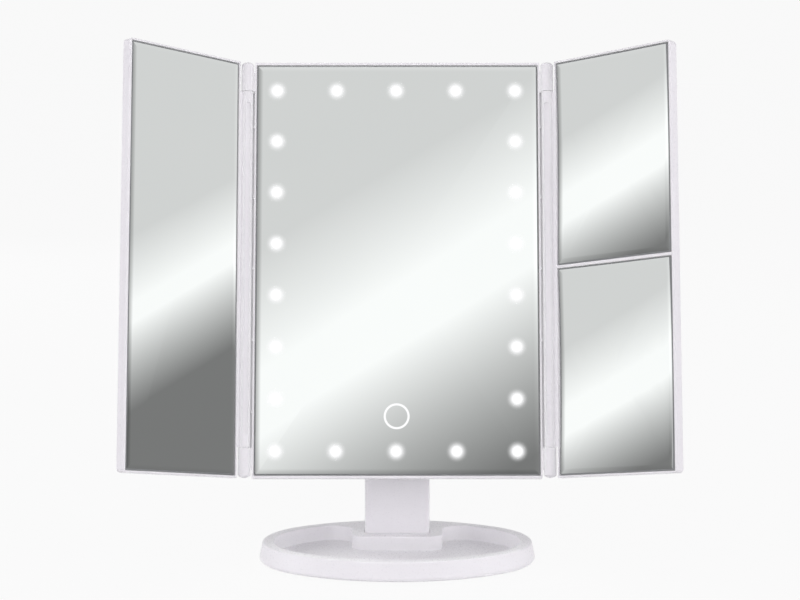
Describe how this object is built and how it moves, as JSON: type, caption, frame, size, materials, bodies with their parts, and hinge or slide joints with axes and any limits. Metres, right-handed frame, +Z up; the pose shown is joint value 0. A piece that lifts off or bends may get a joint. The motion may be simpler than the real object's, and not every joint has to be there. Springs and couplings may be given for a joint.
{
  "type": "lighted makeup mirror",
  "caption": "Free-standing tri-fold makeup mirror: lit centre glass with a touch spot, two folding side wings, tilting head on a flat neck, and an oval tray base.",
  "frame": {"origin": "middle of the oval base's footprint, on the table", "axes": "+Z up, -Y towards the viewer (the mirrors face -Y), +X to the viewer's right"},
  "size_m": [0.3067, 0.1293, 0.2973],
  "materials": {
    "white_shell": "moulded white plastic, satin gloss",
    "white_plate": "moulded white plastic, fine matt texture",
    "foot_rubber": "soft grey rubber",
    "screw_steel": "bright zinc-plated steel",
    "pin_steel": "ground steel",
    "washer_nylon": "natural nylon",
    "silvered_glass": "silvered float glass",
    "magnifying_mirror": "silvered hollow plate",
    "mounting_tape": "white foam tape",
    "light_board": "white solder mask",
    "led_resin": "pale yellow resin",
    "diffuser_film": "milky film",
    "control_laminate": "green solder mask",
    "copper": "bare copper",
    "socket_shell": "drawn steel shell",
    "cell_can": "plain dark sleeve",
    "contact_plate": "nickel-plated spring steel"
  },
  "bodies": {
    "stand": {"base_tray": "white_shell", "base_plate": "white_plate", "base_foot_ring": "foot_rubber", "base_screws": "screw_steel", "neck_screws": "screw_steel", "neck_column": "white_shell", "neck_rear_cover": "white_shell", "neck_cover_screws": "screw_steel", "pivot_shaft": "pin_steel", "pivot_washers": "washer_nylon"},
    "mirror_head": {"centre_front_frame": "white_shell", "centre_rear_cover": "white_shell", "centre_mirror": "silvered_glass", "centre_mirror_tape": "mounting_tape", "led_board": "light_board", "leds": "led_resin", "light_diffuser": "diffuser_film", "control_board": "control_laminate", "touch_electrode": "copper", "touch_contact": "copper", "charging_socket": "socket_shell", "battery_cells": "cell_can", "battery_contacts": "contact_plate", "case_screws": "screw_steel", "pivot_caps": "white_shell", "hinge_caps": "white_shell", "left_hinge_pins": "pin_steel", "right_hinge_pins": "pin_steel"},
    "left_wing": {"left_wing_tray": "white_shell", "left_wing_mirror": "silvered_glass", "left_wing_tape": "mounting_tape"},
    "right_wing": {"right_wing_tray": "white_shell", "right_upper_mirror": "magnifying_mirror", "right_lower_mirror": "magnifying_mirror", "right_wing_tapes": "mounting_tape"},
    "battery_door": {"battery_door": "white_shell"}
  },
  "joints": [
    {"name": "head_tilt", "type": "hinge", "parent": "stand", "child": "mirror_head", "pos_m": [0, 0.0254, 0.0782], "axis": [-1, 0, 0], "range_deg": [-23.6, 76.4]},
    {"name": "left_wing_fold", "type": "hinge", "parent": "mirror_head", "child": "left_wing", "pos_m": [-0.0864, 0.01502, 0.16713], "axis": [0, 0.2351, 0.972], "range_deg": [-44.9, 135.1]},
    {"name": "right_wing_fold", "type": "hinge", "parent": "mirror_head", "child": "right_wing", "pos_m": [0.0864, 0.01502, 0.16713], "axis": [0, -0.2351, -0.972], "range_deg": [-40.9, 139.1]},
    {"name": "battery_door_slide", "type": "slide", "parent": "mirror_head", "child": "battery_door", "axis": [0, 0.2351, 0.972], "range_m": [0, 0.055]}
  ]
}
